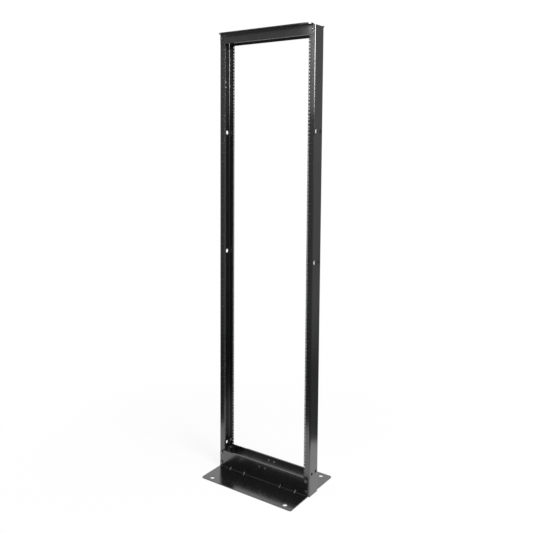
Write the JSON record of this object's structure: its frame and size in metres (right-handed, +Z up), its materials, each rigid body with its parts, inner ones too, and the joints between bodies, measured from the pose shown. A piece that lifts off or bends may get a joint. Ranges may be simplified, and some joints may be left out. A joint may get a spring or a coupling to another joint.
{
  "type": "two post open frame rack",
  "caption": "Free-standing open equipment rack: two folded steel channels drilled in rack units, bolted between angle feet and top angles.",
  "frame": {"origin": "floor level at the middle of the footprint", "axes": "+X to the right seen from the front, +Y to the rear, +Z up"},
  "size_m": [0.5206, 0.381, 2.1384],
  "materials": {
    "frame_coat": "semi-gloss black powder coat",
    "fastener": "dark zinc"
  },
  "bodies": {
    "root": {"left_upright": "frame_coat", "right_upright": "frame_coat", "front_base_angle": "frame_coat", "rear_base_angle": "frame_coat", "front_top_angle": "frame_coat", "rear_top_angle": "frame_coat", "bolt_base_front_left_low": "fastener", "bolt_base_front_left_high": "fastener", "bolt_base_front_right_low": "fastener", "bolt_base_front_right_high": "fastener", "bolt_base_rear_left_low": "fastener", "bolt_base_rear_left_high": "fastener", "bolt_base_rear_right_low": "fastener", "bolt_base_rear_right_high": "fastener", "bolt_top_front_left": "fastener", "bolt_top_front_right": "fastener", "bolt_top_rear_left": "fastener", "bolt_top_rear_right": "fastener", "nut_base_front_left_low": "fastener", "nut_base_front_left_high": "fastener", "nut_base_front_right_low": "fastener", "nut_base_front_right_high": "fastener", "nut_base_rear_left_low": "fastener", "nut_base_rear_left_high": "fastener", "nut_base_rear_right_low": "fastener", "nut_base_rear_right_high": "fastener", "nut_top_front_left": "fastener", "nut_top_front_right": "fastener", "nut_top_rear_left": "fastener", "nut_top_rear_right": "fastener"}
  },
  "joints": []
}
